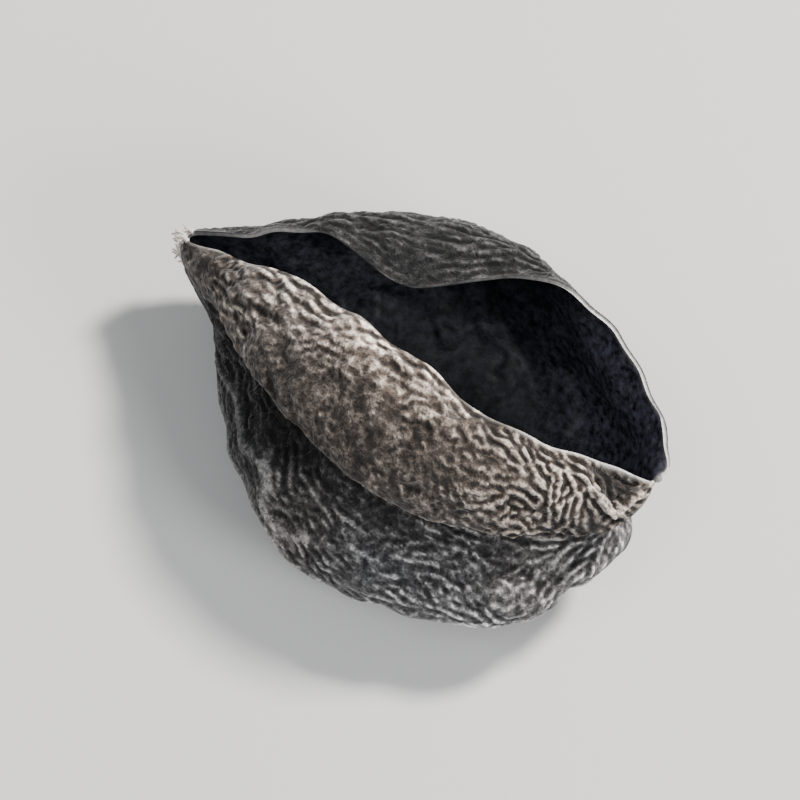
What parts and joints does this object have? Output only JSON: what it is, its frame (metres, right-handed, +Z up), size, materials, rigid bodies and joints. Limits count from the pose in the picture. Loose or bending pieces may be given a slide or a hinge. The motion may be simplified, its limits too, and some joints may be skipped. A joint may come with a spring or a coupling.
{
  "type": "dried wood ear mushroom",
  "caption": "Dried wood ear mushroom curled into an open pouch, its outside felted and wrinkled, its inside dark and smooth, pinched at the attachment",
  "frame": {"origin": "centre of the bounding box's bottom, on the surface that the ear lies on", "axes": "+X runs from the pinched attachment to the blunt tip, +Z is up, out of the mouth, and +Y points to the far edge of the mouth, away from the belly"},
  "size_m": [0.035, 0.025, 0.0154],
  "materials": {
    "dried_flesh": "felted matt outside, smooth and darker inside"
  },
  "bodies": {
    "root": {"wood_ear": "dried_flesh"}
  },
  "joints": []
}
